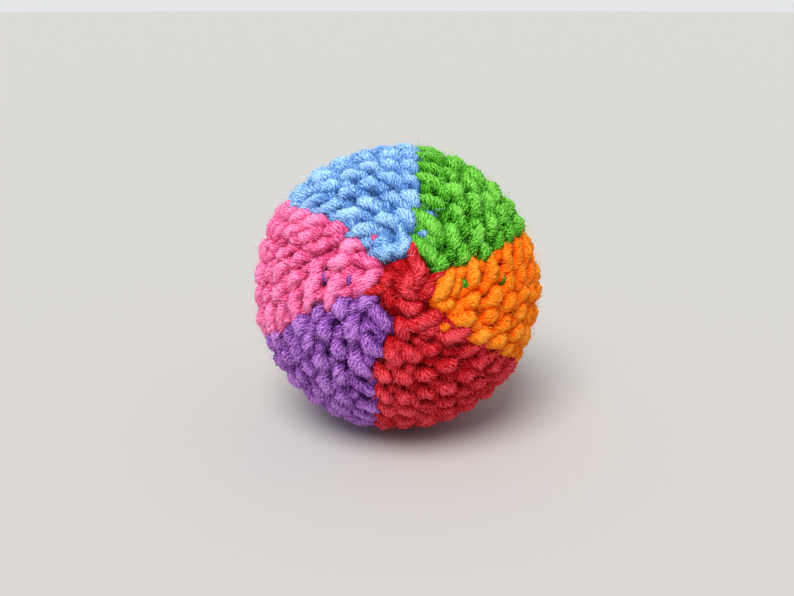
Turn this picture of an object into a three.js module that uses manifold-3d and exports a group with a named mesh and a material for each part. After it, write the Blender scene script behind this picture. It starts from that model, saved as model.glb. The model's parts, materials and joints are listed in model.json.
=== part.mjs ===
// A crocheted play ball, about a hand's width across.
// Six coloured yarns are worked in single crochet, round after round, from a start ring at the front
// to a drawn-up last round at the back. Each colour makes one panel. Fibre filling holds the shape,
// and the two yarn ends of the poles are buried in it. Millimetres and degrees, +Z up.
import * as THREE from "three";
import { mergeVertices } from "three/addons/utils/BufferGeometryUtils.js";
import Module from "manifold-3d";

const wasm = await Module();
wasm.setup();

// Driving dimensions
const BALL_RADIUS = 35; // over the crests of the stitches
const STITCH_RELIEF = 1.6; // from a crest down to the groove between two rounds
const FABRIC_THICKNESS = 5; // a round of single crochet in this yarn, crest to inside
const YARN_DIAMETER = 2.6;
const REST_FLAT_DEPTH = 1.0; // how far the soft ball settles on the surface that it lies on
const POLE_TILT = 18; // the front pole looks this far above the horizon as the ball lies
const CLEARANCE = 0.3; // between the filling and what lies round it or in it
const PANEL_GAP = 0.4; // between neighbouring colours, measured along a round
const START_TAIL_REACH = 22; // how deep the end of the start ring is drawn into the filling
const CLOSING_TAIL_REACH = 34;

// The stitch pattern
const ROUNDS = 18; // rounds from pole to pole
const WIDEST_PANEL_STITCHES = 6; // stitches of one colour in a round at the middle of the ball
const SWIRL_END = 42; // the colour borders swirl round near a pole, and have half straightened here
const SWIRL_FADE = 5; // how gently they straighten

// One stitch: levels across its round, from the front pole's side to the back pole's side.
// lean is the sideways slant of the stitch there, in stitch widths, and heights are shares of the relief.
const STITCH_LEVELS = [
  { across: 0, lean: 0, heights: [0] },
  { across: 0.36, lean: 0.22, heights: [0.2, 0.8, 0.62] },
  { across: 0.72, lean: 0.45, heights: [0.3, 0.9, 1] },
];
const INSIDE_STEPS = 4; // facets across the inside of a panel
const FILLING_FACETS = 28;
const TAIL_SIDES = 8;
const TAIL_STEPS = 16;

// The way that a yarn end takes through the filling, as shares of its reach
const TAIL_ROUTE = [
  { aside: 0, up: 0, depth: 0 },
  { aside: 0, up: 0, depth: 0.2 },
  { aside: 0.12, up: 0.08, depth: 0.5 },
  { aside: 0.25, up: 0.25, depth: 0.8 },
  { aside: 0.15, up: 0.48, depth: 1 },
];

// The yarns in their order round the ball, clockwise as seen from the front. Each colour's panel begins
// at an angle from the top, and near the front pole its edge lies further round by its swirl: the ball is
// made by hand, and its colours don't all hold the same number of stitches there.
const YARNS = {
  green: { shade: "#46b52a", begins: 6.5, swirl: 2 },
  orange: { shade: "#ff7f14", begins: 65.5, swirl: 3 },
  red: { shade: "#c8202e", begins: 124, swirl: 5 },
  purple: { shade: "#8a4bc0", begins: 191, swirl: 11 },
  pink: { shade: "#ef5f94", begins: 250, swirl: 10 },
  blue: { shade: "#6fa6e8", begins: 307.5, swirl: 6 },
};
const FILLING_COLOUR = "#f1efe9";

const yarns = Object.values(YARNS);
const PANELS = yarns.length;
const PANEL_ANGLE = 360 / PANELS;

const INSIDE_RADIUS = BALL_RADIUS - FABRIC_THICKNESS;
const GROOVE_RADIUS = BALL_RADIUS - STITCH_RELIEF;
const ROUND_ANGLE = 180 / ROUNDS;
// The filling clears the flat facets inside the panels, which lie a little within their corners.
const FACET_SHRINK =
  Math.cos(THREE.MathUtils.degToRad(PANEL_ANGLE / INSIDE_STEPS / 2)) *
  Math.cos(THREE.MathUtils.degToRad(ROUND_ANGLE / 2));
const FILLING_RADIUS = INSIDE_RADIUS * FACET_SHRINK - CLEARANCE;

function fibreMaterial(colour) {
  return new THREE.MeshStandardMaterial({
    color: colour,
    roughness: 0.95,
    metalness: 0,
  });
}

// A point at a given distance from the ball's centre. fromPole is measured from the front pole,
// and around is measured clockwise from the top, as seen from the front.
function ballPoint(fromPole, around, radius) {
  const a = THREE.MathUtils.degToRad(fromPole);
  const b = THREE.MathUtils.degToRad(around);
  return new THREE.Vector3(
    radius * Math.sin(a) * Math.sin(b),
    radius * Math.sin(a) * Math.cos(b),
    radius * Math.cos(a),
  );
}

// The width of a stitch, as an angle round the ball: a round holds more stitches as it grows.
function stitchAngle(round) {
  const each = Math.min(round + 1, ROUNDS - round, WIDEST_PANEL_STITCHES);
  return PANEL_ANGLE / each;
}

// How much of the swirl of the colour borders is left, which turns the other way at the back pole.
function swirlShare(fromPole) {
  const share = (angle) => 1 / (1 + Math.exp((angle - SWIRL_END) / SWIRL_FADE));
  return share(fromPole) - share(180 - fromPole);
}

// Where panel number `panel` begins in a round, at a level that leans by `lean` stitch widths.
function borderAngle(panel, round, lean) {
  const { begins, swirl } = yarns[panel % PANELS];
  const turns = Math.floor(panel / PANELS);
  const middle = (round + 0.5) * ROUND_ANGLE;
  return (
    begins +
    360 * turns +
    swirl * swirlShare(middle) -
    lean * stitchAngle(round)
  );
}

function stitchesIn(panel, round) {
  const width = borderAngle(panel + 1, round, 0) - borderAngle(panel, round, 0);
  return Math.max(1, Math.round(width / stitchAngle(round)));
}

// In the groove before a round, the fuller one of the two rounds that meet there counts.
function stitchesAt(panel, round, across) {
  if (across > 0) return stitchesIn(panel, round);
  return Math.max(stitchesIn(panel, round - 1), stitchesIn(panel, round));
}

// Half the gap between two colours as an angle around the ball.
function halfGapAngle(fromPole, radius) {
  const ring = radius * Math.sin(THREE.MathUtils.degToRad(fromPole));
  return THREE.MathUtils.radToDeg(PANEL_GAP / 2 / ring);
}

// The outer line of a panel at one level of a round: each stitch has a low edge and raised middle points.
function panelLine(panel, round, level) {
  const { across, lean, heights } = level;
  const fromPole = (round + across) * ROUND_ANGLE;
  const points = stitchesAt(panel, round, across) * heights.length;
  const gap = halfGapAngle(fromPole, GROOVE_RADIUS);
  const first = borderAngle(panel, round, lean) + gap;
  const last = borderAngle(panel + 1, round, lean) - gap;
  const line = [];
  for (let i = 0; i <= points; i++) {
    const height = heights[i % heights.length];
    const around = first + ((last - first) * i) / points;
    line.push(
      ballPoint(fromPole, around, GROOVE_RADIUS + STITCH_RELIEF * height),
    );
  }
  return line;
}

// The inner line of a panel at the start of a round.
function insideLine(panel, round) {
  const fromPole = round * ROUND_ANGLE;
  const gap = halfGapAngle(fromPole, GROOVE_RADIUS);
  const first = borderAngle(panel, round, 0) + gap;
  const last = borderAngle(panel + 1, round, 0) - gap;
  const line = [];
  for (let i = 0; i <= INSIDE_STEPS; i++)
    line.push(
      ballPoint(
        fromPole,
        first + ((last - first) * i) / INSIDE_STEPS,
        INSIDE_RADIUS,
      ),
    );
  return line;
}

// Fills the strip between two lines of points with triangles that face the side from which the
// second line lies on the left of the first.
function zip(a, b) {
  const lastA = a.length - 1;
  const lastB = b.length - 1;
  const triangles = [];
  let i = 0;
  let j = 0;
  while (i < lastA || j < lastB) {
    const nextA = i < lastA ? (i + 1) / lastA : Infinity;
    const nextB = j < lastB ? (j + 1) / lastB : Infinity;
    if (nextA <= nextB) {
      triangles.push([a[i], a[i + 1], b[j]]);
      i++;
    } else {
      triangles.push([a[i], b[j + 1], b[j]]);
      j++;
    }
  }
  return triangles;
}

// Joins each line to the next one, from the first line to the last.
function zipAll(lines) {
  return lines.slice(1).flatMap((line, i) => zip(lines[i], line));
}

function turnOver(triangles) {
  return triangles.map(([a, b, c]) => [a, c, b]);
}

function closedGeometry(triangles) {
  const loose = new THREE.BufferGeometry().setFromPoints(triangles.flat());
  return mergeVertices(loose, 1e-4);
}

// A coloured panel: a gore of fabric between the first round's ring and the last round's ring.
function panelGeometry(panel) {
  const outer = [];
  const inner = [];
  for (let round = 1; round < ROUNDS - 1; round++) {
    for (const level of STITCH_LEVELS)
      outer.push(panelLine(panel, round, level));
    inner.push(insideLine(panel, round));
  }
  outer.push(panelLine(panel, ROUNDS - 1, STITCH_LEVELS[0]));
  inner.push(insideLine(panel, ROUNDS - 1));

  const edge = (lines, pick) => lines.map((line) => line.at(pick));
  return closedGeometry([
    ...zipAll(outer),
    ...turnOver(zipAll(inner)),
    ...zip(edge(outer, 0), edge(inner, 0)),
    ...turnOver(zip(edge(outer, -1), edge(inner, -1))),
    ...zip(inner[0], outer[0]),
    ...zip(outer.at(-1), inner.at(-1)),
  ]);
}

// A ring of points round the front pole, as a line whose last point is its first.
function poleRing(fromPole, radii, lean) {
  const line = [];
  for (let i = 0; i <= PANELS * radii.length; i++) {
    const around =
      borderAngle(0, 0, 0) + (i / radii.length - lean) * PANEL_ANGLE;
    line.push(ballPoint(fromPole, around, radii[i % radii.length]));
  }
  return line;
}

// The six stitches round a pole. The back pole's round is the front pole's turned over, so there the
// stitches run from the rim to the pole, to lean as all the others do.
function poleRoundGeometry(isBack) {
  const rimAngle =
    ROUND_ANGLE - THREE.MathUtils.radToDeg(PANEL_GAP / GROOVE_RADIUS);
  const levels = STITCH_LEVELS.slice(1).map(({ across, lean, heights }) =>
    poleRing(
      ROUND_ANGLE * (isBack ? 1 - across : across),
      heights.map((height) => GROOVE_RADIUS + STITCH_RELIEF * height),
      isBack ? -lean : lean,
    ),
  );
  if (isBack) levels.reverse();
  const geometry = closedGeometry(
    zipAll([
      [ballPoint(0, 0, GROOVE_RADIUS)],
      ...levels,
      poleRing(rimAngle, [GROOVE_RADIUS, GROOVE_RADIUS], 0),
      poleRing(rimAngle, [INSIDE_RADIUS, INSIDE_RADIUS], 0),
      [ballPoint(0, 0, INSIDE_RADIUS)],
    ]),
  );
  if (isBack) geometry.rotateX(Math.PI);
  return geometry;
}

// The points of a yarn end, from the middle of the front pole's round into the filling. The back
// pole's end takes the same kind of way, turned over.
function tailPoints(reach) {
  const start = INSIDE_RADIUS * Math.cos(THREE.MathUtils.degToRad(ROUND_ANGLE));
  const curve = new THREE.CatmullRomCurve3(
    TAIL_ROUTE.map(
      ({ aside, up, depth }) =>
        new THREE.Vector3(aside * reach, up * reach, start - depth * reach),
    ),
  );
  return curve.getSpacedPoints(TAIL_STEPS);
}

function tubeGeometry(points, diameter) {
  const section = new THREE.Shape();
  for (let i = 0; i < TAIL_SIDES; i++) {
    const turn = (i / TAIL_SIDES) * 2 * Math.PI;
    const x = (Math.cos(turn) * diameter) / 2;
    const y = (Math.sin(turn) * diameter) / 2;
    if (i === 0) section.moveTo(x, y);
    else section.lineTo(x, y);
  }
  section.closePath();
  return new THREE.ExtrudeGeometry(section, {
    steps: points.length - 1,
    extrudePath: new THREE.CatmullRomCurve3(points),
  });
}

// A yarn end stops one step short of its channel's end.
function tailGeometry(reach, isBack) {
  const geometry = tubeGeometry(tailPoints(reach).slice(0, -1), YARN_DIAMETER);
  if (isBack) geometry.rotateX(Math.PI);
  return geometry;
}

function channelGeometry(reach, isBack) {
  const geometry = tubeGeometry(
    tailPoints(reach),
    YARN_DIAMETER + 2 * CLEARANCE,
  );
  if (isBack) geometry.rotateX(Math.PI);
  return geometry;
}

// Cutting one closed geometry out of another
function toSolid(geometry) {
  const bare = geometry.clone();
  bare.deleteAttribute("normal");
  bare.deleteAttribute("uv");
  const merged = mergeVertices(bare, 1e-4);
  return new wasm.Manifold(
    new wasm.Mesh({
      numProp: 3,
      vertProperties: new Float32Array(merged.attributes.position.array),
      triVerts: new Uint32Array(merged.index.array),
    }),
  );
}

function cut(geometry, cutters) {
  let solid = toSolid(geometry);
  for (const cutter of cutters) solid = solid.subtract(toSolid(cutter));
  const mesh = solid.getMesh();
  return new THREE.BufferGeometry()
    .setAttribute(
      "position",
      new THREE.BufferAttribute(new Float32Array(mesh.vertProperties), 3),
    )
    .setIndex(new THREE.BufferAttribute(new Uint32Array(mesh.triVerts), 1));
}

function add(group, name, geometry, material) {
  geometry.deleteAttribute("normal");
  geometry.computeVertexNormals();
  const mesh = new THREE.Mesh(geometry, material);
  mesh.name = name;
  group.add(mesh);
}

// The ball lies on its side, its front pole tipped up, on the flat that its weight presses into it.
const ball = new THREE.Group();
ball.rotation.x = THREE.MathUtils.degToRad(90 - POLE_TILT);
ball.position.z = BALL_RADIUS - REST_FLAT_DEPTH;
ball.updateMatrixWorld(true);

const underSurface = new THREE.BoxGeometry(
  2 * BALL_RADIUS,
  2 * BALL_RADIUS,
  2 * REST_FLAT_DEPTH,
);
underSurface.translate(0, 0, -REST_FLAT_DEPTH);
underSurface.applyMatrix4(ball.matrixWorld.clone().invert());

Object.entries(YARNS).forEach(([colour, { shade }], panel) => {
  add(
    ball,
    colour + "_panel",
    cut(panelGeometry(panel), [underSurface]),
    fibreMaterial(shade),
  );
});

const redYarn = fibreMaterial(YARNS.red.shade);
add(ball, "start_round", poleRoundGeometry(false), redYarn);
add(ball, "closing_round", poleRoundGeometry(true), redYarn);
add(ball, "start_tail", tailGeometry(START_TAIL_REACH, false), redYarn);
add(ball, "closing_tail", tailGeometry(CLOSING_TAIL_REACH, true), redYarn);

const filling = new THREE.SphereGeometry(
  FILLING_RADIUS,
  FILLING_FACETS,
  FILLING_FACETS / 2,
);
add(
  ball,
  "filling",
  cut(filling, [
    channelGeometry(START_TAIL_REACH, false),
    channelGeometry(CLOSING_TAIL_REACH, true),
  ]),
  fibreMaterial(FILLING_COLOUR),
);

const crochetedBall = new THREE.Group();
crochetedBall.add(ball);

export default crochetedBall;
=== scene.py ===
"""A crocheted play ball: six colours of yarn in single crochet round a fibre filling."""

import json
import math
import random

import bmesh
import bpy
import numpy as np
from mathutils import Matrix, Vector

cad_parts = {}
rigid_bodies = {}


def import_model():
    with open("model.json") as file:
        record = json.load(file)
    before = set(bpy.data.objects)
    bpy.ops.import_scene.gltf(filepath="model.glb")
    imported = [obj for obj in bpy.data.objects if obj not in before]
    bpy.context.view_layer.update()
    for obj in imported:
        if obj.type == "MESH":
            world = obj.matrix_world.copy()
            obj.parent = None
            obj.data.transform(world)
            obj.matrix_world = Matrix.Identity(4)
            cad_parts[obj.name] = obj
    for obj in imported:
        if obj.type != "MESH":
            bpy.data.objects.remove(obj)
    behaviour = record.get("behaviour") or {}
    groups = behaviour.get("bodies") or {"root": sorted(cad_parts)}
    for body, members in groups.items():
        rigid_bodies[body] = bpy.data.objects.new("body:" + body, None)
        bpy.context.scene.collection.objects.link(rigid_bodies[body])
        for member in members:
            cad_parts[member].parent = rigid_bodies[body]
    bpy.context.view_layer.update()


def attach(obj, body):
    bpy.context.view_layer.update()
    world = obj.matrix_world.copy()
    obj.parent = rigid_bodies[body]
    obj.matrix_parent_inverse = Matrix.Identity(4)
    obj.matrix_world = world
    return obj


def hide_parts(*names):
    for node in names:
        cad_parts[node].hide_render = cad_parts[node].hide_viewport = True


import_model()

bl_info = {
    "name": "Crocheted Ball",
    "version": (1, 0, 0),
    "blender": (4, 5, 0),
    "location": "3D View > Sidebar > Crocheted Ball",
    "description": "Builds a crocheted play ball stitch by stitch",
    "category": "Add Mesh",
}

MM = 0.001
TURN = 2 * math.pi

# The stitch pattern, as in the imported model
ROUNDS = 18
ROUND_ANGLE = math.pi / ROUNDS
WIDEST_PANEL_STITCHES = 6

# Where each colour's panel begins at the middle of the ball, clockwise from the top as seen from the
# front, and how much further round its edge swirls near the front pole, in degrees. The edges lie within
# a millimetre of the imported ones, and make up for the stitches that reach over them.
PANEL_EDGES = {
    "green": (7.2, 1.5),
    "orange": (66.2, 5.5),
    "red": (123.5, 3),
    "purple": (189.8, 10.5),
    "pink": (250.4, 10.3),
    "blue": (307, 8.5),
}
YARNS = tuple(PANEL_EDGES)
PANELS = len(YARNS)
SWIRL_END = math.radians(42)
SWIRL_FADE = math.radians(5)

# The rounds in which a colour's first loop shows as a speck in the panel worked before it, and how far
# the loop lies above its usual place there, in millimetres. A loop that doesn't show is pulled in.
SHOWING_CHANGES = {
    "green": {1: 0.9, 3: 0.4, 9: 0.9, 13: 0.9},
    "orange": {1: 1.7, 6: 0.9, 11: 0.9},
    "red": {8: 0.9, 12: 0.9},
    "purple": {1: 0.9, 2: 0.9, 3: 0.9, 4: 0.9, 10: 0.9},
    "pink": {1: 0.5, 7: 0.9, 12: 0.9},
    "blue": {1: 1.2, 2: 1.2, 9: 0.9, 14: 0.9},
}
PULLED_IN = -1.0

# How bright each colour stays under the painted shade in the pits of the stitches, and how pale the
# painted highlight makes it on the crests
PIT_SHADE_AND_CREST_HIGHLIGHT = {
    "green": (0.45, 1.35),
    "orange": (1.0, 1.0),
    "red": (0.85, 1.2),
    "purple": (0.6, 1.25),
    "pink": (0.6, 1.12),
    "blue": (0.63, 1.3),
}

# How far the start ring's stitches reach out, in rounds, where a colour borders on the one before it
TIP_REACH = {"green": 0.55, "orange": 0.75, "pink": 0.9}

# The way of the yarn through one stitch, in three stretches. Each point holds the share of a stitch
# width along the round, the share of a round away from the front pole, the height in millimetres over
# the middle of the fabric, and the fullness of the yarn there.
LOOP_TOP = (
    (-1.10, 0.84, -1.8, 0.80),
    (-1.13, 0.97, -1.0, 0.90),
    (-1.06, 1.05, -0.4, 1.00),
    (-0.96, 1.05, -0.4, 1.00),
    (-0.88, 0.94, -1.5, 0.85),
)
FULL_LEG = (
    (-0.60, 0.42, -2.0, 0.80),
    (-0.56, 0.18, -1.4, 0.90),
    (-0.50, 0.12, -0.5, 1.05),
    (-0.43, 0.26, 0.0, 1.15),
    (-0.31, 0.45, 0.45, 1.38),
    (-0.13, 0.59, 0.8, 1.60),
    (0.09, 0.70, 0.85, 1.62),
    (0.27, 0.79, 0.5, 1.42),
    (0.39, 0.87, -0.5, 1.05),
    (0.40, 0.90, -1.6, 0.85),
)
SLIM_LEG = (
    (0.46, 0.66, -1.4, 0.80),
    (0.46, 0.48, -0.3, 1.00),
    (0.40, 0.30, 0.35, 1.22),
    (0.31, 0.10, 0.35, 1.22),
    (0.20, -0.08, -0.7, 0.95),
    (0.00, 0.20, -2.0, 0.80),
)

# The full leg of a row's last stitch is drawn out to a point over the border, and the next colour's
# first stitch gives it some room, in stitch widths
BORDER_ROOM = 0.15
LAST_LEG = (
    (-0.60, 0.45, -2.0, 0.80),
    (-0.56, 0.20, -1.4, 0.90),
    (-0.50, 0.16, -0.5, 1.05),
    (-0.42, 0.34, 0.2, 1.25),
    (-0.28, 0.50, 0.6, 1.48),
    (-0.04, 0.61, 0.8, 1.62),
    (0.24, 0.70, 0.8, 1.56),
    (0.52, 0.79, 0.9, 1.30),
    (0.77, 0.88, 0.8, 0.98),
    (0.94, 0.94, 0.2, 0.72),
    (0.98, 0.96, -1.2, 0.65),
)

# A row starts this much before its border, in stitch widths, because its end reaches over the next one.
# The first rounds come to that step by step, and the one given here is the first that reaches it.
EARLY_START = 0.33
EARLY_FROM = 3

# The first round's two stitches grow out of one place: a short leg that runs straight away from the
# pole, and a long one that runs round it and comes back under itself
FIRST_SHORT_LEG = (
    (-0.20, 0.55, -2.0, 0.80),
    (-0.22, 0.26, -0.9, 0.95),
    (-0.24, 0.28, 0.1, 1.25),
    (-0.22, 0.44, 0.6, 1.48),
    (-0.15, 0.62, 0.8, 1.60),
    (-0.05, 0.80, 0.6, 1.50),
    (0.06, 0.95, -0.2, 1.15),
    (0.10, 0.98, -1.4, 0.85),
)
FIRST_LONG_LEG = (
    (-1.15, 0.50, -2.0, 0.80),
    (-1.12, 0.26, -0.8, 0.95),
    (-1.02, 0.29, 0.2, 1.25),
    (-0.80, 0.34, 0.6, 1.45),
    (-0.45, 0.42, 0.8, 1.56),
    (-0.08, 0.52, 0.8, 1.56),
    (0.25, 0.66, 0.7, 1.38),
    (0.46, 0.80, 0.5, 1.10),
    (0.58, 0.94, -0.3, 0.85),
    (0.46, 1.04, -1.4, 0.85),
    (0.20, 1.00, 0.0, 1.15),
    (-0.08, 0.94, 0.5, 1.38),
    (-0.40, 0.88, 0.5, 1.40),
    (-0.66, 0.86, -0.3, 1.10),
    (-0.75, 0.95, -2.0, 0.80),
)

# The six stitches of the start ring. A tip between two colours is given across in shares of its reach
# from the ring's edge.
RING_EDGE = 0.95
RING_LEG = (
    (-0.55, 0.56, -1.6, 0.80),
    (-0.52, 0.48, -0.5, 0.95),
    (-0.40, 0.62, 0.2, 1.25),
    (-0.22, 0.77, 0.5, 1.45),
    (0.02, 0.83, 0.6, 1.50),
    (0.26, 0.85, 0.4, 1.40),
)
RING_TIP = (
    (0.42, 0.00, 0.4, 1.15),
    (0.50, 0.35, 0.9, 1.10),
    (0.52, 0.75, 1.0, 1.00),
    (0.51, 1.00, 0.1, 0.75),
    (0.50, 0.65, -1.6, 0.80),
)
RING_HEART = (
    (0.40, 0.62, -1.4, 0.80),
    (0.36, 0.44, -0.2, 1.00),
    (0.25, 0.26, 0.6, 1.25),
    (-0.05, 0.10, 0.8, 1.35),
    (-0.35, 0.28, 0.5, 1.15),
    (-0.50, 0.45, -1.4, 0.80),
)

# The yarn ends' way into the filling, in shares of their reach: aside, up, and depth
TAIL_ROUTE = (
    (0, 0, 0),
    (0, 0, 0.2),
    (0.12, 0.08, 0.5),
    (0.25, 0.25, 0.8),
    (0.15, 0.48, 1),
)
TAIL_STEPS = 16

# How far a hand-made stitch strays, from the least to the most: its lean, slant and fullness in shares,
# its shift in stitch widths, the way aside in rounds and its lift in millimetres, and then each of its
# points in widths or rounds and in millimetres of height
STRAYS = {
    "lean": (-0.12, 0.12),
    "shift": (-0.07, 0.07),
    "aside": (-0.05, 0.05),
    "slant": (-0.22, 0.22),
    "lift": (-0.35, 0.25),
    "fullness": (-0.09, 0.07),
    "point": (-0.02, 0.02),
    "point_height": (-0.1, 0.1),
}

# The start ring is worked more loosely than the rest, and the closing round's stitches are drawn
# together to this share of a round
RING_LOOSENESS = 1.6
CLOSING_SHARE = 0.85

# The yarn looks fuller in a wide stitch: the power of the stitch's width, and the least and the most
WIDTH_POWER = 0.6
LEAST_FULLNESS = 0.93
MOST_FULLNESS = 1.1

# How far the ply ridges rise and the grooves between them sink, in shares of the yarn's radius
RIDGE_DEPTH = 0.045

# The felt behind the stitches. A panel's felt begins, and a pole's cap ends, this many rounds from the
# pole. The cap lies above the middle of the fabric, in millimetres, and its rim sinks by a share of its
# thickness, more steeply towards its end.
PANEL_FELT_START = 1.1
PANEL_FELT_GRID = (24, 80)
CAP_FELT_END = 1.2
CAP_FELT_GRID = (96, 20)
CAP_FELT_LIFT = 0.7
CAP_RIM_SINKS = 0.8
RIM_POWER = 4
SAME_PLACE = 0.01 * MM

# The layers of lumps on the yarn and on the filling: how wide the lumps of each are and how high they
# stand, in millimetres
TUFT_HEIGHT = 1.2
YARN_LUMPS = {"uneven_yarn": (1.6, 1.2), "matted_fibre": (0.6, 0.5)}
FILLING_LUMPS = {"fibre_tufts": (6, TUFT_HEIGHT), "fibre_strands": (1.2, 0.5 * TUFT_HEIGHT)}

# The noise in the yarn's look, in cells to the metre, and how far the grain shows in the streaks
TANGLE_SCALE = 560.0
PATCH_SCALE = 260.0
GRAIN_SCALE = 2400.0
LOOSE_SCALE = 1500.0
GRAIN_SHARE = 0.6

# The hairs that cross the plies: how many show to a millimetre along and round the yarn, and their lean
HAIRS_ALONG = 0.8
HAIRS_AROUND = 4.2
HAIR_LEAN = 0.45

# The crests begin this far above the middle of the fabric and are whole this far above the ball's
# radius, in millimetres. Between these heights the painted shade of the pits gives way to the painted
# highlight of the crests.
CREST_BEGINS = 0.5
CREST_WHOLE = 0.3

# The yarn's colour is raised to these powers for the painted shade in the pits and the painted highlight
# on the crests
PIT_SHADE_POWER = 1.5
CREST_HIGHLIGHT_POWER = 0.65

# What makes up the tone of the worked yarn and of the loose fibres. The crest weights set how strongly
# the crest mask paints shade in the pits and highlight on the crests.
STREAK_WEIGHT = 2.6
CREST_LIGHT_WEIGHT = 1.1
TONE_DROP = 0.2
LOOSE_NOISE_WEIGHT = 4.0
LOOSE_CREST_LIGHT_WEIGHT = 1.4

# Yarn, fibre and floor hardly shine
SHINE = 0.05

# The two kinds of loose fibres: how steeply they rise, how long they are in shares of a long fibre, how
# far they stray from the plies in radians, and in how many steps they bend
LYING = {"rises": (0.05, 0.45), "reaches": (0.3, 0.8), "scatter": 0.6, "steps": 2}
STANDING = {"rises": (0.5, 1.5), "reaches": (0.4, 1.8), "scatter": 1.2, "steps": 3}

# A pole's stitches carry one loose fibre for this many on a panel
PANEL_TO_POLE_FIBRES = 14

# The seeds of the random draws, so that each run gives the same ball
PANEL_SEED = 7
PANEL_SEED_STEP = 101
POLE_SEED = 31
POLE_FIBRE_SEED = 50

# The room's light on the ball, the backdrop that shows, and the floor
ROOM_LIGHT = (0.44, 0.45, 0.47, 1)
BACKDROP = (0.78, 0.79, 0.80, 1)
FLOOR_COLOUR = (0.58, 0.57, 0.55, 1)


class CrochetSizes(bpy.types.PropertyGroup):
    """Sizes of the ball and its stitches"""

    ball_radius: bpy.props.FloatProperty(
        name="Ball Radius", description="From the centre to the crests of the stitches",
        default=0.035, unit="LENGTH")
    rest_flat: bpy.props.FloatProperty(
        name="Rest Flat", description="How far the ball settles on the surface that it lies on",
        default=0.001, unit="LENGTH")
    pole_tilt: bpy.props.FloatProperty(
        name="Pole Tilt", description="How far the front pole looks above the horizon",
        default=math.radians(18), subtype="ANGLE")
    yarn_radius: bpy.props.FloatProperty(
        name="Yarn Radius", description="Half the thickness of the yarn",
        default=0.00125, unit="LENGTH")
    fabric_middle: bpy.props.FloatProperty(
        name="Fabric Middle", description="From the centre to the middle of the fabric",
        default=0.0322, unit="LENGTH")
    fabric_inside: bpy.props.FloatProperty(
        name="Fabric Inside", description="From the centre to the inside of the fabric",
        default=0.030, unit="LENGTH")
    felt_thickness: bpy.props.FloatProperty(
        name="Felt Thickness", description="Thickness of the matted fibre behind the stitches",
        default=0.0015, unit="LENGTH")
    filling_radius: bpy.props.FloatProperty(
        name="Filling Radius", description="From the centre to the crests of the filling",
        default=0.0294, unit="LENGTH")
    start_tail: bpy.props.FloatProperty(
        name="Start Tail", description="How deep the start ring's yarn end is drawn in",
        default=0.022, unit="LENGTH")
    closing_tail: bpy.props.FloatProperty(
        name="Closing Tail", description="How deep the closing round's yarn end is drawn in",
        default=0.034, unit="LENGTH")
    stitch_width: bpy.props.FloatProperty(
        name="Stitch Width", description="Width of a stitch that is worked at the usual tension",
        default=0.0053, unit="LENGTH")
    ply_ridges: bpy.props.IntProperty(
        name="Ply Ridges", description="Bundles of fibre round the yarn", default=12)
    twist: bpy.props.FloatProperty(
        name="Twist", description="Turn of the plies in one metre of yarn", default=560)
    unevenness: bpy.props.FloatProperty(
        name="Unevenness", description="How far the hand-made stitches differ from each other",
        default=1.2, subtype="FACTOR")


class YarnColours(bpy.types.PropertyGroup):
    """Colours of the yarns"""

    green: bpy.props.FloatVectorProperty(
        name="Green", description="Colour of the green yarn", subtype="COLOR",
        default=(0.082, 0.42, 0.021), min=0, max=1)
    orange: bpy.props.FloatVectorProperty(
        name="Orange", description="Colour of the orange yarn", subtype="COLOR",
        default=(1.0, 0.215, 0.006), min=0, max=1)
    red: bpy.props.FloatVectorProperty(
        name="Red", description="Colour of the red yarn", subtype="COLOR",
        default=(0.62, 0.0185, 0.029), min=0, max=1)
    purple: bpy.props.FloatVectorProperty(
        name="Purple", description="Colour of the purple yarn", subtype="COLOR",
        default=(0.34, 0.105, 0.50), min=0, max=1)
    pink: bpy.props.FloatVectorProperty(
        name="Pink", description="Colour of the pink yarn", subtype="COLOR",
        default=(1.0, 0.16, 0.40), min=0, max=1)
    blue: bpy.props.FloatVectorProperty(
        name="Blue", description="Colour of the blue yarn", subtype="COLOR",
        default=(0.205, 0.435, 0.85), min=0, max=1)
    filling: bpy.props.FloatVectorProperty(
        name="Filling", description="Colour of the fibre filling", subtype="COLOR",
        default=(0.86, 0.85, 0.82), min=0, max=1)


class FuzzSettings(bpy.types.PropertyGroup):
    """The loose fibres that lie on the yarn and stand out of it"""

    per_panel: bpy.props.IntProperty(
        name="Fibres", description="Loose fibres on each panel", default=22000)
    standing: bpy.props.FloatProperty(
        name="Standing", description="Share of the fibres that stand out of the yarn",
        default=0.28, subtype="FACTOR")
    length: bpy.props.FloatProperty(
        name="Length", description="Length of a long fibre", default=0.0020, unit="LENGTH")
    lying_width: bpy.props.FloatProperty(
        name="Lying Width", description="Width of the wisps that lie on the yarn",
        default=0.00016, unit="LENGTH")
    standing_width: bpy.props.FloatProperty(
        name="Standing Width", description="Width of a fibre that stands out",
        default=0.00007, unit="LENGTH")


# Places on the ball


def sizes():
    return bpy.context.scene.crochet_sizes


def ball_centre():
    s = sizes()
    return Vector((0, 0, s.ball_radius - s.rest_flat))


def from_ball(side, up, out):
    """A point by how far it lies aside, up and out along the axis through the front pole."""
    tilt = sizes().pole_tilt
    return ball_centre() + Vector((
        side,
        up * math.sin(tilt) - out * math.cos(tilt),
        up * math.cos(tilt) + out * math.sin(tilt),
    ))


def ball_point(from_pole, around, radius):
    """A point by its angle from the front pole, its angle clockwise from the top, and its radius."""
    return from_ball(
        radius * math.sin(from_pole) * math.sin(around),
        radius * math.sin(from_pole) * math.cos(around),
        radius * math.cos(from_pole),
    )


def swirl_share(from_pole):
    """How much of the swirl of the colour borders is left; it turns the other way at the back."""
    front = 1 / (1 + math.exp((from_pole - SWIRL_END) / SWIRL_FADE))
    back = 1 / (1 + math.exp((math.pi - from_pole - SWIRL_END) / SWIRL_FADE))
    return front - back


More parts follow.
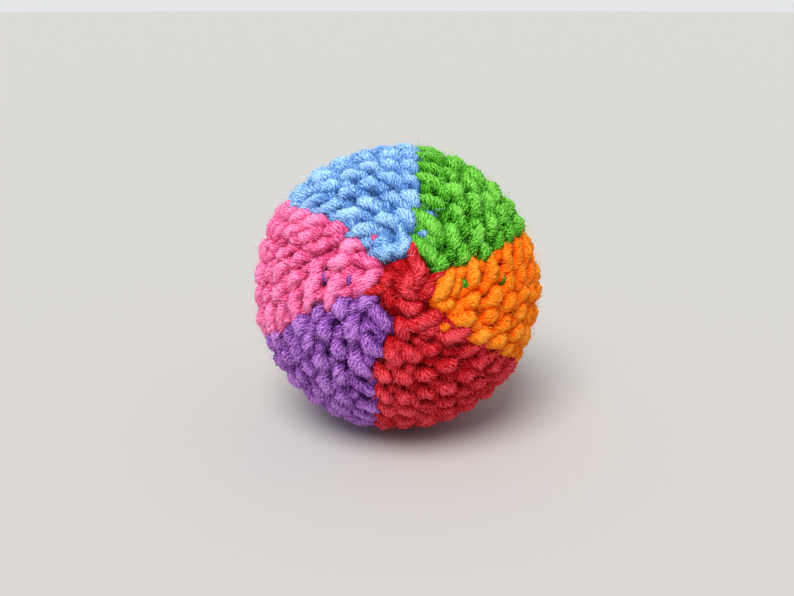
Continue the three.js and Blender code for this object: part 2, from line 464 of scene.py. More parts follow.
def border(panel, from_pole):
    """The angle round the ball at which a panel begins."""
    begins, swirl = PANEL_EDGES[YARNS[panel % PANELS]]
    degrees = begins + 360 * (panel // PANELS) + swirl * swirl_share(from_pole)
    return math.radians(degrees)


def stitches_in(panel, round_):
    """How many stitches a panel holds in a round."""
    middle = (round_ + 0.5) * ROUND_ANGLE
    each = min(round_ + 1, ROUNDS - round_, WIDEST_PANEL_STITCHES)
    stitch_angle = TURN / PANELS / each
    return max(1, round((border(panel + 1, middle) - border(panel, middle)) / stitch_angle))


def stitch_angle_in(panel, round_):
    """How far round the ball one stitch of a panel reaches."""
    middle = (round_ + 0.5) * ROUND_ANGLE
    return (border(panel + 1, middle) - border(panel, middle)) / stitches_in(panel, round_)


def stitch_point(panel, round_, number, along, across, height):
    """Where a point of a stitch lies on the ball."""
    from_pole = (round_ + across) * ROUND_ANGLE
    last = border(panel + 1, (round_ + 0.5) * ROUND_ANGLE)
    early = EARLY_START * min(max((round_ - 1) / (EARLY_FROM - 1), 0), 1)
    around = last - (number + 0.5 + along - early) * stitch_angle_in(panel, round_)
    return ball_point(from_pole, around, sizes().fabric_middle + height * MM)


# Yarn


def link(obj):
    bpy.context.scene.collection.objects.link(obj)
    return obj


def baked(obj, name):
    """The mesh of an object with its modifiers; the object itself goes."""
    mesh = bpy.data.meshes.new_from_object(
        obj.evaluated_get(bpy.context.evaluated_depsgraph_get()))
    bpy.data.objects.remove(obj)
    mesh.name = name
    return mesh


def yarn_profile():
    """The section of the yarn: a ring of ply ridges."""
    s = sizes()
    curve = bpy.data.curves.new("yarn_profile", "CURVE")
    curve.dimensions = "2D"
    spline = curve.splines.new("POLY")
    count = 2 * s.ply_ridges
    spline.points.add(count - 1)
    for i, point in enumerate(spline.points):
        angle = TURN * i / count
        radius = s.yarn_radius * (1 + (RIDGE_DEPTH if i % 2 else -RIDGE_DEPTH))
        point.co = (radius * math.cos(angle), radius * math.sin(angle), 0, 1)
    spline.use_cyclic_u = True
    return link(bpy.data.objects.new("yarn_profile", curve))


def add_yarn_run(bm, points, profile):
    """Adds one run of yarn to a bmesh. Each of its points holds a place and a fullness."""
    s = sizes()
    curve = bpy.data.curves.new("yarn_run", "CURVE")
    curve.dimensions = "3D"
    curve.bevel_mode = "OBJECT"
    curve.bevel_object = profile
    curve.use_fill_caps = True
    spline = curve.splines.new("NURBS")
    spline.points.add(len(points) - 1)
    length = 0
    previous = points[0][0]
    for point, (place, fullness) in zip(spline.points, points):
        length += (place - previous).length
        previous = place
        point.co = (*place, 1)
        point.radius = fullness
        point.tilt = length * s.twist
    spline.order_u = 4
    spline.use_endpoint_u = True
    spline.resolution_u = 2
    mesh = baked(link(bpy.data.objects.new("yarn_run", curve)), "yarn_run")
    bpy.data.curves.remove(curve)

    # The run's UV map in millimetres: along the yarn and round it
    layer = mesh.uv_layers[0].data
    uv = np.empty(2 * len(layer), dtype=np.float32)
    layer.foreach_get("uv", uv)
    uv[0::2] *= length / MM
    uv[1::2] *= TURN * s.yarn_radius / MM
    layer.foreach_set("uv", uv)
    bm.from_mesh(mesh)
    bpy.data.meshes.remove(mesh)


def add_felt(bm, segments, edges, poles, radius, sunk_rim):
    """Adds felted fabric behind the stitches to a bmesh. It runs from one angle from the pole to another,
    between two edges, and its far end may be sunk by a share of its thickness."""
    thickness = sizes().felt_thickness
    made = bmesh.ops.create_grid(
        bm, x_segments=segments[0], y_segments=segments[1], size=0.5, calc_uvs=True)
    uv = bm.loops.layers.uv.verify()
    for vert in made["verts"]:
        share = vert.co.y + 0.5
        from_pole = poles[0] + share * (poles[1] - poles[0])
        first, last = edges(from_pole)
        around = first + (vert.co.x + 0.5) * (last - first)
        for loop in vert.link_loops:
            loop[uv].uv = (from_pole * radius / MM, around * radius / MM)
        vert.co = ball_point(from_pole, around, radius - sunk_rim * thickness * share ** RIM_POWER)
    faces = dict.fromkeys(face for vert in made["verts"] for face in vert.link_faces)
    bmesh.ops.remove_doubles(bm, verts=made["verts"], dist=SAME_PLACE)
    faces = [face for face in faces if face.is_valid]
    bmesh.ops.recalc_face_normals(bm, faces=faces)
    bmesh.ops.solidify(bm, geom=faces, thickness=thickness)


def add_panel_lining(bm, panel):
    """Adds the felted inside of a panel: a gore from pole round to pole round."""
    s = sizes()
    start = PANEL_FELT_START * ROUND_ANGLE
    add_felt(
        bm, PANEL_FELT_GRID,
        lambda from_pole: (border(panel, from_pole), border(panel + 1, from_pole)),
        (start, math.pi - start), s.fabric_inside + s.felt_thickness, 0)


def add_pole_lining(bm, is_back):
    """Adds the felted cap that fills the gaps between the six stitches at a pole."""
    end = CAP_FELT_END * ROUND_ANGLE
    poles = (math.pi, math.pi - end) if is_back else (0, end)
    radius = sizes().fabric_middle + CAP_FELT_LIFT * MM
    add_felt(bm, CAP_FELT_GRID, lambda from_pole: (0, TURN), poles, radius, CAP_RIM_SINKS)


def worked_stitch(rng, points, fuller=1.0, lift=0.0, loose=1.0):
    """The points of one stitch. It is hand-made, so each stitch comes out a little different."""
    off = loose * sizes().unevenness

    def stray(kind):
        return off * rng.uniform(*STRAYS[kind])

    lean = 1 + stray("lean")
    shift = stray("shift")
    aside = stray("aside")
    slant = stray("slant")
    lift += stray("lift")
    fuller *= 1 + stray("fullness")
    for along, across, height, fullness in points:
        yield (
            along * lean + shift + stray("point"),
            across + aside + slant * along + stray("point"),
            height + lift + stray("point_height"),
            fullness * fuller,
        )


def full_leg(round_, number, count):
    """The full leg that fits a stitch's place in its row."""
    if round_ == 1:
        return FIRST_LONG_LEG if number else FIRST_SHORT_LEG
    if number == 0:
        return tuple((BORDER_ROOM + (1 - BORDER_ROOM) * along, *rest) for along, *rest in FULL_LEG)
    return LAST_LEG if number == count - 1 else FULL_LEG


def panel_rows(panel, rng):
    """The runs of yarn of one panel, one for each round. A colour's last stitch is closed with the
    next colour, so each run begins with a loop over the stitch before it."""
    s = sizes()
    for round_ in range(1, ROUNDS - 1):
        count = stitches_in(panel, round_)
        middle = (round_ + 0.5) * ROUND_ANGLE
        width = stitch_angle_in(panel, round_) * math.sin(middle) * s.ball_radius
        fuller = min(max((width / s.stitch_width) ** WIDTH_POWER, LEAST_FULLNESS), MOST_FULLNESS)
        row = []
        for number in range(count):
            lift = PULLED_IN
            if number == 0:
                lift = SHOWING_CHANGES[YARNS[panel]].get(round_, PULLED_IN)
            legs = full_leg(round_, number, count)
            if round_ > 1:
                legs += SLIM_LEG
            for points in (worked_stitch(rng, LOOP_TOP, lift=lift),
                           worked_stitch(rng, legs, fuller=fuller)):
                for along, across, height, fullness in points:
                    row.append((stitch_point(panel, round_, number, along, across, height), fullness))
        yield row


def start_ring_row(rng):
    """The run of yarn of the start ring, one stitch for each panel."""
    row = []
    for panel in range(PANELS - 1, -1, -1):
        reach = TIP_REACH.get(YARNS[panel])
        tip = [(along, RING_EDGE + across * reach, height, fullness)
               for along, across, height, fullness in RING_TIP if reach]
        points = (*RING_LEG, *tip, *RING_HEART)
        for along, across, height, fullness in worked_stitch(rng, points, loose=RING_LOOSENESS):
            row.append((stitch_point(panel, 0, 0, along, across, height), fullness))
    return row


def closing_row(rng):
    """The run of yarn of the closing round, drawn shut over the far pole."""
    row = []
    for panel in range(PANELS - 1, -1, -1):
        points = worked_stitch(rng, LOOP_TOP + FULL_LEG + SLIM_LEG)
        for along, across, height, fullness in points:
            place = stitch_point(panel, ROUNDS - 1, 0, along, CLOSING_SHARE * across, height)
            row.append((place, fullness))
    return row


def settle(mesh):
    """Presses the underside flat on the surface that the ball lies on."""
    s = sizes()
    reach = 2 * s.rest_flat
    co = np.empty(3 * len(mesh.vertices), dtype=np.float32)
    mesh.vertices.foreach_get("co", co)
    z = co[2::3]
    depth = np.clip((reach - z) / (reach + s.rest_flat), 0, 1)
    low = z < reach

    # The height falls to nothing at the full depth, because the fall less the ease is one
    fall, ease = 1.5, 0.5
    z[low] = (reach * (1 - fall * depth + ease * depth ** 2))[low]
    mesh.vertices.foreach_set("co", co)
    mesh.update()


def add_lumps(obj, kind, width, height):
    """Adds a layer of lumps to an object. All pieces with the same kind share its texture."""
    texture = bpy.data.textures.get(kind) or bpy.data.textures.new(kind, "CLOUDS")
    texture.noise_scale = width
    texture.noise_depth = 1
    modifier = obj.modifiers.new(kind, "DISPLACE")
    modifier.texture = texture
    modifier.texture_coords = "LOCAL"
    modifier.strength = height
    modifier.mid_level = 0.5


def finish_piece(name, bm, layers, material):
    """Turns a bmesh into a piece: lumpy, and settled where it meets the surface below."""
    mesh = bpy.data.meshes.new(name)
    bm.to_mesh(mesh)
    bm.free()
    rough = link(bpy.data.objects.new(name, mesh))
    for kind, (width, height) in layers.items():
        add_lumps(rough, kind, width * MM, height * MM)
    final = baked(rough, name)
    bpy.data.meshes.remove(mesh)
    settle(final)
    final.shade_smooth()
    final.materials.append(material)
    return link(bpy.data.objects.new(name, final))


def tail_points(reach, is_back):
    """The way of a yarn end from the middle of its pole into the filling: a smooth curve through the
    points of its route."""
    s = sizes()
    start = s.fabric_inside * math.cos(ROUND_ANGLE)
    turned = -1 if is_back else 1
    route = [Vector((aside * reach, turned * up * reach, turned * (start - depth * reach)))
             for aside, up, depth in TAIL_ROUTE]
    ends = [2 * route[0] - route[1], *route, 2 * route[-1] - route[-2]]
    points = []
    stretches = len(route) - 1
    for step in range(TAIL_STEPS):
        share = step / TAIL_STEPS * stretches
        k = int(share)
        t = share - k
        a, b, c, d = ends[k:k + 4]
        place = 0.5 * (2 * b + t * (c - a) + t ** 2 * (2 * a - 5 * b + 4 * c - d)
                       + t ** 3 * (3 * b - a - 3 * c + d))
        points.append((from_ball(*place), 1.0))
    return points


# Materials


def add_node(tree, kind, inputs=None, **settings):
    """Adds a node; an input is given its value, or linked where it is given a socket."""
    node = tree.nodes.new(kind)
    for name, value in settings.items():
        setattr(node, name, value)
    for socket, value in (inputs or {}).items():
        if isinstance(value, bpy.types.NodeSocket):
            tree.links.new(value, node.inputs[socket])
        else:
            node.inputs[socket].default_value = value
    return node


def math_node(tree, operation, *values):
    return add_node(tree, "ShaderNodeMath", dict(enumerate(values)), operation=operation).outputs[0]


def new_group(name, inputs=(), outputs=()):
    group = bpy.data.node_groups.new(name, "ShaderNodeTree")
    for label, default in inputs:
        socket = group.interface.new_socket(label, in_out="INPUT", socket_type="NodeSocketFloat")
        socket.default_value = default
    for label in outputs:
        group.interface.new_socket(label, in_out="OUTPUT", socket_type="NodeSocketFloat")
    return group, add_node(group, "NodeGroupInput").outputs, add_node(group, "NodeGroupOutput").inputs


def fibre_group():
    """The fibres of the yarn: a wave along the plies with painted shade in the grooves between them, and
    finer hairs that wander and tangle, whose tone differs at random.
    """
    known = bpy.data.node_groups.get("yarn_fibres")
    if known:
        return known
    s = sizes()
    group, given, result = new_group(
        "yarn_fibres", (("Wander", 1.65), ("Ridges", 0.2)), ("Streaks", "Patches"))
    ridge_width = TURN * s.yarn_radius / MM / s.ply_ridges
    coordinates = add_node(group, "ShaderNodeTexCoord").outputs
    uv = add_node(group, "ShaderNodeSeparateXYZ", {0: coordinates["UV"]}).outputs
    tangle = add_node(group, "ShaderNodeTexNoise", {
        "Vector": coordinates["Object"], "Scale": TANGLE_SCALE, "Detail": 1.0}).outputs["Fac"]
    bend = math_node(group, "MULTIPLY", math_node(group, "SUBTRACT", tangle, 0.5), given["Wander"])
    around = math_node(group, "ADD", uv[1], bend)

    def hairs_leaning(lean):
        skewed = math_node(group, "MULTIPLY_ADD", uv[0], lean, around)
        place = add_node(group, "ShaderNodeCombineXYZ", {
            0: math_node(group, "MULTIPLY", uv[0], HAIRS_ALONG),
            1: math_node(group, "MULTIPLY", skewed, HAIRS_AROUND)}).outputs[0]
        return add_node(group, "ShaderNodeTexNoise", {
            "Vector": place, "Scale": 1.0, "Detail": 2.0, "Roughness": 0.6},
            noise_dimensions="2D").outputs["Fac"]

    # The ply wave is painted shade: darker in the grooves between the plies, lighter on their ridges
    wave = math_node(group, "COSINE", math_node(group, "MULTIPLY", around, TURN / ridge_width))
    ridge = math_node(group, "MULTIPLY_ADD", wave, -0.5, 0.5)
    hairs = math_node(group, "MAXIMUM", hairs_leaning(HAIR_LEAN), hairs_leaning(-HAIR_LEAN))
    ridge_share = math_node(group, "MULTIPLY", ridge, given["Ridges"])
    hair_share = math_node(group, "MULTIPLY", hairs, math_node(group, "SUBTRACT", 1.0, given["Ridges"]))
    patches = add_node(group, "ShaderNodeTexNoise", {
        "Vector": coordinates["Object"], "Scale": PATCH_SCALE, "Detail": 3.0}).outputs["Fac"]
    grain = add_node(group, "ShaderNodeTexNoise", {
        "Vector": coordinates["Object"], "Scale": GRAIN_SCALE, "Detail": 1.0}).outputs["Fac"]
    grain = math_node(group, "SUBTRACT", grain, 0.5)
    fibres = math_node(group, "ADD", ridge_share, hair_share)
    fibres = math_node(group, "MULTIPLY_ADD", grain, GRAIN_SHARE, fibres)
    group.links.new(fibres, result["Streaks"])
    group.links.new(patches, result["Patches"])
    return group


def crest_light_group():
    """How near the surface lies to the crests of the stitches: 0 in the pits, 1 on the crests. It places
    the painted shade in the pits and the painted highlight on the crests.
    """
    known = bpy.data.node_groups.get("crest_mask")
    if known:
        return known
    s = sizes()
    group, _, result = new_group("crest_mask", (), ("Crest",))
    place = add_node(group, "ShaderNodeTexCoord").outputs["Object"]
    away = add_node(group, "ShaderNodeVectorMath", {
        0: place, 1: tuple(ball_centre())}, operation="DISTANCE").outputs["Value"]
    crest = add_node(group, "ShaderNodeMapRange", {
        "Value": away,
        "From Min": s.fabric_middle + CREST_BEGINS * MM,
        "From Max": s.ball_radius + CREST_WHOLE * MM,
    }).outputs["Result"]
    group.links.new(crest, result["Crest"])
    return group


def tone_ramp(tree, tone, colour, pit_shade, crest):
    """A yarn's colour by its tone: deeper and more saturated below a half, paler above it. Where the tone
    follows the crests, the deep end is painted shade in the pits and the pale end painted highlight on
    the crests.
    """
    ramp = add_node(tree, "ShaderNodeValToRGB", {0: tone})
    stops = ramp.color_ramp.elements
    # The deep stop is painted shade for the pits, the pale stop painted highlight for the crests
    stops[0].position = 0.0
    stops[0].color = (*(pit_shade * c ** PIT_SHADE_POWER for c in colour), 1)
    stops[1].position = 1.0
    stops[1].color = (*(min(1, crest * c ** CREST_HIGHLIGHT_POWER) for c in colour), 1)
    stops.new(0.5).color = (*colour, 1)
    return ramp.outputs["Color"]


def new_material(name, roughness):
    mat = bpy.data.materials.new(name)
    mat.use_nodes = True
    bsdf = mat.node_tree.nodes["Principled BSDF"]
    bsdf.inputs["Roughness"].default_value = roughness
    bsdf.inputs["Specular IOR Level"].default_value = SHINE
    return mat, mat.node_tree, bsdf


def yarn_material(name, colour, painted_light):
    """Matt, slightly felted yarn, with painted shade in the pits and painted highlight on the crests."""
    mat, tree, bsdf = new_material(name, roughness=0.92)
    fibres = add_node(tree, "ShaderNodeGroup", node_tree=fibre_group()).outputs
    crest = add_node(tree, "ShaderNodeGroup", node_tree=crest_light_group()).outputs["Crest"]
    streaks = math_node(tree, "SUBTRACT", fibres["Streaks"], 0.5)
    patches = math_node(tree, "SUBTRACT", fibres["Patches"], 0.5)
    # The crest mask paints shade in the pits and highlight on the crests; the streaks carry painted shade
    # between the plies and fibre tone that differs at random
    tone = math_node(tree, "MULTIPLY", crest, CREST_LIGHT_WEIGHT)
    tone = math_node(tree, "MULTIPLY_ADD", streaks, STREAK_WEIGHT, tone)
    tone = math_node(tree, "ADD", patches, tone)
    tone = math_node(tree, "SUBTRACT", tone, TONE_DROP)
    tree.links.new(tone_ramp(tree, tone, colour, *painted_light), bsdf.inputs["Base Color"])

    bump = add_node(tree, "ShaderNodeBump", {
        "Height": fibres["Streaks"], "Strength": 0.9, "Distance": 0.25 * MM})
    tree.links.new(bump.outputs["Normal"], bsdf.inputs["Normal"])
    return mat


def loose_fibre_material(name, colour, painted_light):
    """Single fibres: painted highlight on the crests and painted shade in the pits, with a tone that
    differs at random.
    """
    mat, tree, bsdf = new_material(name, roughness=0.9)
    crest = add_node(tree, "ShaderNodeGroup", node_tree=crest_light_group()).outputs["Crest"]
    place = add_node(tree, "ShaderNodeTexCoord").outputs["Object"]
    noise = add_node(tree, "ShaderNodeTexNoise", {
        "Vector": place, "Scale": LOOSE_SCALE, "Detail": 1.0}).outputs["Fac"]
    uneven = math_node(tree, "SUBTRACT", noise, 0.5)
    # The crest mask paints highlight on the crests and shade in the pits
    tone = math_node(tree, "MULTIPLY", crest, LOOSE_CREST_LIGHT_WEIGHT)
    tone = math_node(tree, "MULTIPLY_ADD", uneven, LOOSE_NOISE_WEIGHT, tone)
    tree.links.new(tone_ramp(tree, tone, colour, *painted_light), bsdf.inputs["Base Color"])
    return mat


def filling_material():
    """Loose polyester fibre, shaded between its strands."""
    colour = tuple(bpy.context.scene.yarn_colours.filling)
    shade = 0.72
    mat, tree, bsdf = new_material("polyester_filling", roughness=0.85)
    bsdf.inputs["Sheen Weight"].default_value = 0.2
    place = add_node(tree, "ShaderNodeTexCoord").outputs["Object"]
    strands = add_node(tree, "ShaderNodeTexNoise", {
        "Vector": place, "Scale": 700.0, "Detail": 4.0, "Distortion": 2.0}).outputs["Fac"]
    ramp = add_node(tree, "ShaderNodeValToRGB", {0: strands})
    stops = ramp.color_ramp.elements
    stops[0].position = 0.3
    stops[0].color = (*(shade * c for c in colour), 1)
    stops[1].position = 0.6
    stops[1].color = (*colour, 1)
    tree.links.new(ramp.outputs["Color"], bsdf.inputs["Base Color"])
    bump = add_node(tree, "ShaderNodeBump", {"Height": strands, "Strength": 0.8, "Distance": 0.4 * MM})
    tree.links.new(bump.outputs["Normal"], bsdf.inputs["Normal"])
    return mat


def own_material(kind, yarn):
    """The material of a yarn, made once: kind is "worked" or "loose"."""
    name = f"{kind}_{yarn}_yarn"
    known = bpy.data.materials.get(name)
    if known:
        return known
    make = yarn_material if kind == "worked" else loose_fibre_material
    return make(name, tuple(getattr(bpy.context.scene.yarn_colours, yarn)), PIT_SHADE_AND_CREST_HIGHLIGHT[yarn])


# Loose fibres


def read(collection, attribute, width, kind=np.float32):
    """One attribute of all the items of a mesh's collection, as an array."""
    values = np.empty(width * len(collection), dtype=kind)
    collection.foreach_get(attribute, values)
    return values.reshape(-1, width) if width > 1 else values


def unit(vectors):
    return vectors / np.maximum(np.linalg.norm(vectors, axis=1), 1e-9)[:, None]


def ply_directions(mesh):
    """The way the plies run on each face, from its UV map."""
    corners = read(mesh.polygons, "loop_start", 1, np.int32)[:, None] + np.arange(3)
    verts = read(mesh.loops, "vertex_index", 1, np.int32)[corners]
    place = read(mesh.vertices, "co", 3)[verts]
    around = read(mesh.uv_layers[0].data, "uv", 2)[corners][:, :, 1]
    first = (place[:, 1] - place[:, 0]) * (around[:, 2] - around[:, 0])[:, None]
    second = (place[:, 2] - place[:, 0]) * (around[:, 1] - around[:, 0])[:, None]
    return unit(first - second)


def fuzz_roots(mesh, count, rng):
    """Places on a mesh of yarn for loose fibres, each with the way up and the way of the plies. They are
    on faces that look outwards, not deep in the fabric and clear of the surface below."""
    outwards = -0.1
    deepest = sizes().fabric_middle - 0.2 * MM
    clear = 2 * MM
    outward_share = 0.5
    centres = read(mesh.polygons, "center", 3)
    normals = read(mesh.polygons, "normal", 3)
    outward = centres - np.array(ball_centre(), dtype=np.float32)
    radius = np.linalg.norm(outward, axis=1)
    outward /= radius[:, None]
    facing = (normals * outward).sum(axis=1)
    free = (facing > outwards) & (radius > deepest) & (centres[:, 2] > clear)
    weight = (read(mesh.polygons, "area", 1) * free).astype(np.float64)
    picked = rng.choice(len(weight), size=count, p=weight / weight.sum())
    ups = unit(normals[picked] + outward_share * outward[picked])
    return centres[picked], ups, ply_directions(mesh)[picked]


def wisps(roots, ups, plies, reach, rise, scatter, steps, rng):
    """The points of loose fibres that leave the yarn near the way of its plies and curl back to it."""
    most_turn = 0.6
    yarn_curve = 2.2 * MM
    root_depth = 0.03
    count = len(roots)
    angle = rng.normal(0, scatter, count)[:, None] + math.pi * rng.integers(0, 2, count)[:, None]
    side = np.cos(angle) * plies + np.sin(angle) * np.cross(ups, plies)
    turn = np.cross(ups, side) * rng.uniform(-most_turn, most_turn, count)[:, None]
    share = np.linspace(0, 1, steps + 1)[None, :, None]
    droop = (reach / (2 * yarn_curve))[:, None, None]
    lift = rise[:, None, None] * share - droop * share ** 2 - root_depth
    way = side[:, None] * share + turn[:, None] * share ** 2 + ups[:, None] * lift
    return roots[:, None] + reach[:, None, None] * way


def fibre_mesh(name, points, width, rng):
    """Fibres as narrow bands that taper to their tips, each through its row of points and turned its
    own way."""
    tip = 0.4
    curve = bpy.data.curves.new(name, "CURVE")
    curve.dimensions = "3D"
    curve.extrude = width / 2
    count = points.shape[1]
    places = np.concatenate([points, np.ones((*points.shape[:2], 1))], axis=2).astype(np.float32)
    taper = np.linspace(1, tip, count, dtype=np.float32)
    tilts = rng.uniform(0, math.pi, len(points))
    for place, tilt in zip(places, tilts):
        spline = curve.splines.new("POLY")
        spline.points.add(count - 1)
        spline.points.foreach_set("co", place.ravel())
        spline.points.foreach_set("radius", taper)
        spline.points.foreach_set("tilt", np.full(count, tilt, dtype=np.float32))
    return baked(link(bpy.data.objects.new(name, curve)), name)


def fuzz_piece(name, stitches, count, yarn, seed):
    """Loose fibres rooted on a piece of yarn: most lie on the stitches, and some stand out."""
    f = bpy.context.scene.fuzz_settings
    rng = np.random.default_rng(seed)
    bm = bmesh.new()
    standing = round(count * f.standing)
    for number, width, kind in (
            (count - standing, f.lying_width, LYING), (standing, f.standing_width, STANDING)):
        roots, ups, plies = fuzz_roots(stitches.data, number, rng)
        reach = f.length * rng.uniform(*kind["reaches"], number)
        rise = rng.uniform(*kind["rises"], number)
        points = wisps(roots, ups, plies, reach, rise, kind["scatter"], kind["steps"], rng)

        # A fibre that meets the surface below the ball lies on it
        points[:, :, 2] = np.maximum(points[:, :, 2], width)
        mesh = fibre_mesh(name, points, width, rng)
        bm.from_mesh(mesh)
        bpy.data.meshes.remove(mesh)
    mesh = bpy.data.meshes.new(name)
    bm.to_mesh(mesh)
    bm.free()
    mesh.shade_smooth()
    mesh.materials.append(own_material("loose", yarn))
    return link(bpy.data.objects.new(name, mesh))


# Operators


def place_piece(piece, slot, *nodes):
    """Every piece rides on the ball's one body."""
    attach(piece, "root")
    if nodes:
        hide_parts(*nodes)


class CROCHET_OT_panels(bpy.types.Operator):
    """Work the six coloured panels"""

    bl_idname = "crochet.panels"
    bl_label = "Panels"

    def execute(self, context):
        profile = yarn_profile()
        for panel, yarn in enumerate(YARNS):
            bm = bmesh.new()
            rng = random.Random(PANEL_SEED_STEP * panel + PANEL_SEED)
            for row in panel_rows(panel, rng):
                add_yarn_run(bm, row, profile)
            add_panel_lining(bm, panel)
            piece = finish_piece(yarn + "_stitches", bm, YARN_LUMPS, own_material("worked", yarn))
            place_piece(piece, yarn + "_yarn", yarn + "_panel")
        bpy.data.objects.remove(profile)
        return {"FINISHED"}


class CROCHET_OT_pole_rounds(bpy.types.Operator):
    """Work the ring of six stitches at each pole"""

    bl_idname = "crochet.pole_rounds"
    bl_label = "Pole Rounds"

    def execute(self, context):
        profile = yarn_profile()
        rounds = {"start_round": start_ring_row, "closing_round": closing_row}
        for seed, (name, make_row) in enumerate(rounds.items(), start=POLE_SEED):
            bm = bmesh.new()
            add_yarn_run(bm, make_row(random.Random(seed)), profile)
            add_pole_lining(bm, name == "closing_round")
            piece = finish_piece(name + "_stitches", bm, YARN_LUMPS, own_material("worked", "red"))
            place_piece(piece, "red_yarn", name)
        bpy.data.objects.remove(profile)
        return {"FINISHED"}


class CROCHET_OT_yarn_ends(bpy.types.Operator):
    """Draw the two yarn ends into the filling"""

    bl_idname = "crochet.yarn_ends"
    bl_label = "Yarn Ends"

    def execute(self, context):
        s = context.scene.crochet_sizes
        profile = yarn_profile()
        for name, reach, is_back in (
                ("start_tail", s.start_tail, False), ("closing_tail", s.closing_tail, True)):
            bm = bmesh.new()
            add_yarn_run(bm, tail_points(reach, is_back), profile)
            piece = finish_piece(name + "_yarn", bm, YARN_LUMPS, own_material("worked", "red"))
            place_piece(piece, "red_yarn", name)
        bpy.data.objects.remove(profile)
        return {"FINISHED"}


class CROCHET_OT_filling(bpy.types.Operator):
    """Stuff the ball with loose fibre"""

    bl_idname = "crochet.filling"
    bl_label = "Filling"

    def execute(self, context):
        s = context.scene.crochet_sizes
        bm = bmesh.new()
        bmesh.ops.create_icosphere(bm, subdivisions=6, radius=s.filling_radius - TUFT_HEIGHT * MM)
        bmesh.ops.translate(bm, verts=bm.verts, vec=ball_centre())
        piece = finish_piece("stuffing", bm, FILLING_LUMPS, filling_material())
        place_piece(piece, "fibre_filling", "filling")
        return {"FINISHED"}


class CROCHET_OT_fuzz(bpy.types.Operator):
    """Raise the loose fibres of the yarn"""

    bl_idname = "crochet.fuzz"
    bl_label = "Loose Fibres"

    def execute(self, context):
        per_panel = context.scene.fuzz_settings.per_panel
        for seed, yarn in enumerate(YARNS):
            stitches = bpy.data.objects[yarn + "_stitches"]
            piece = fuzz_piece(yarn + "_fuzz", stitches, per_panel, yarn, seed)
            place_piece(piece, yarn + "_yarn")
        per_pole = per_panel // PANEL_TO_POLE_FIBRES
        for seed, name in enumerate(("start_round", "closing_round"), start=POLE_FIBRE_SEED):
            stitches = bpy.data.objects[name + "_stitches"]
            piece = fuzz_piece(name + "_fuzz", stitches, per_pole, "red", seed)
            place_piece(piece, "red_yarn")
        return {"FINISHED"}


class CROCHET_OT_stage(bpy.types.Operator):
    """Set the floor, the light and the camera"""

    bl_idname = "crochet.stage"
    bl_label = "Stage"

    def execute(self, context):
        build_floor()
        build_light()
        build_camera()
        context.scene.view_settings.view_transform = "Standard"
        return {"FINISHED"}


# Stage


def build_floor():
    mesh = bpy.data.meshes.new("floor")
    bm = bmesh.new()
    bmesh.ops.create_circle(bm, cap_ends=True, segments=64, radius=6)
    bm.to_mesh(mesh)
    bm.free()
    mat, _, bsdf = new_material("pale_floor", roughness=0.9)
    bsdf.inputs["Base Color"].default_value = FLOOR_COLOUR
    mesh.materials.append(mat)
    link(bpy.data.objects.new("floor", mesh))


def build_light():
    """Even light from the room and a broad, soft light from a window."""
    world = bpy.data.worlds.new("soft_room")
    bpy.context.scene.world = world
    world.use_nodes = True
    tree = world.node_tree
    path = add_node(tree, "ShaderNodeLightPath").outputs
    seen = math_node(tree, "MAXIMUM", path["Is Glossy Ray"], path["Is Transmission Ray"])
    seen = math_node(tree, "MAXIMUM", path["Is Camera Ray"], seen)

    # A mix of colours takes them in sockets 6 and 7, and gives its result in socket 2
    colour = add_node(
        tree, "ShaderNodeMix", {"Factor": seen, 6: ROOM_LIGHT, 7: BACKDROP}, data_type="RGBA")
    tree.links.new(colour.outputs[2], tree.nodes["Background"].inputs["Color"])

    light = bpy.data.lights.new("window", "SUN")
    light.energy = 2.97
    light.angle = math.radians(35)
    light.color = (1.0, 0.98, 0.95)
    lamp = link(bpy.data.objects.new("window", light))
    shines_along = Vector((0.25, 0.6, -1))
    lamp.rotation_euler = shines_along.to_track_quat("-Z", "Y").to_euler()


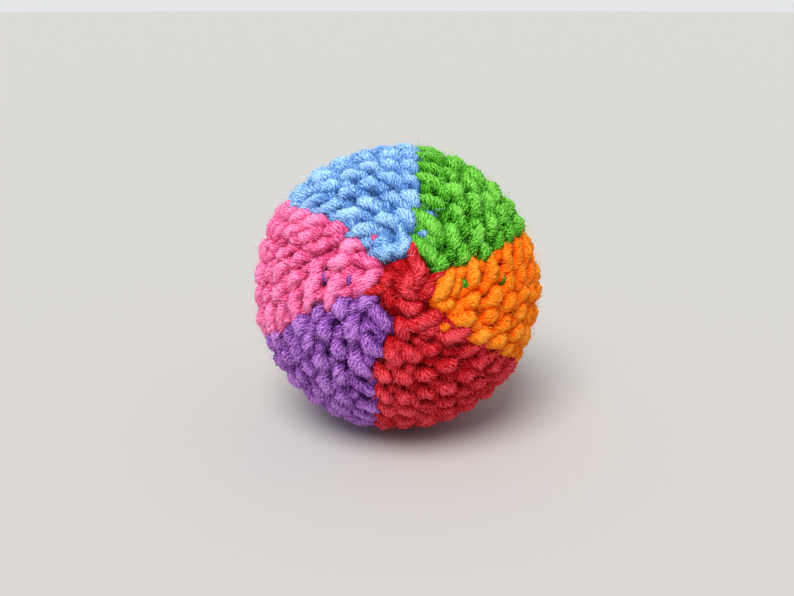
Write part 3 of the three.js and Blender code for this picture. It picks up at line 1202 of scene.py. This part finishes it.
def build_camera():
    """The photograph's view of the ball."""
    width, height = 794, 596
    focal_pixels = 900
    ball_pixel = (397.5, 287.0)
    ball_pixel_radius = 143.0
    elevation = math.radians(18)
    azimuth = math.radians(-3.2)
    camera = bpy.data.cameras.new("camera")
    camera.sensor_width = 36
    camera.lens = camera.sensor_width * focal_pixels / width
    camera.clip_start = 0.01
    camera.shift_x = -(ball_pixel[0] - width / 2) / width
    camera.shift_y = (ball_pixel[1] - height / 2) / width
    view = link(bpy.data.objects.new("camera", camera))
    distance = sizes().ball_radius / math.sin(math.atan(ball_pixel_radius / focal_pixels))
    direction = Vector((
        -math.sin(azimuth) * math.cos(elevation),
        math.cos(azimuth) * math.cos(elevation),
        -math.sin(elevation),
    ))
    view.location = ball_centre() - direction * distance
    view.rotation_euler = direction.to_track_quat("-Z", "Y").to_euler()
    bpy.context.scene.camera = view


# Sidebar and registration


class CROCHET_PT_sidebar(bpy.types.Panel):
    """Lists the steps of the ball"""

    bl_label = "Crocheted Ball"
    bl_space_type = "VIEW_3D"
    bl_region_type = "UI"
    bl_category = "Crocheted Ball"

    def draw(self, context):
        for step in STEPS:
            self.layout.operator(step.bl_idname)


STEPS = (
    CROCHET_OT_panels,
    CROCHET_OT_pole_rounds,
    CROCHET_OT_yarn_ends,
    CROCHET_OT_filling,
    CROCHET_OT_fuzz,
    CROCHET_OT_stage,
)
SETTINGS = (CrochetSizes, YarnColours, FuzzSettings)


def register():
    for cls in SETTINGS + STEPS + (CROCHET_PT_sidebar,):
        bpy.utils.register_class(cls)
    bpy.types.Scene.crochet_sizes = bpy.props.PointerProperty(type=CrochetSizes)
    bpy.types.Scene.yarn_colours = bpy.props.PointerProperty(type=YarnColours)
    bpy.types.Scene.fuzz_settings = bpy.props.PointerProperty(type=FuzzSettings)


def unregister():
    del bpy.types.Scene.fuzz_settings
    del bpy.types.Scene.yarn_colours
    del bpy.types.Scene.crochet_sizes
    for cls in reversed(SETTINGS + STEPS + (CROCHET_PT_sidebar,)):
        bpy.utils.unregister_class(cls)


def main():
    register()
    bpy.ops.crochet.panels()
    bpy.ops.crochet.pole_rounds()
    bpy.ops.crochet.yarn_ends()
    bpy.ops.crochet.filling()
    bpy.ops.crochet.fuzz()
    bpy.ops.crochet.stage()


if __name__ == "__main__":
    main()
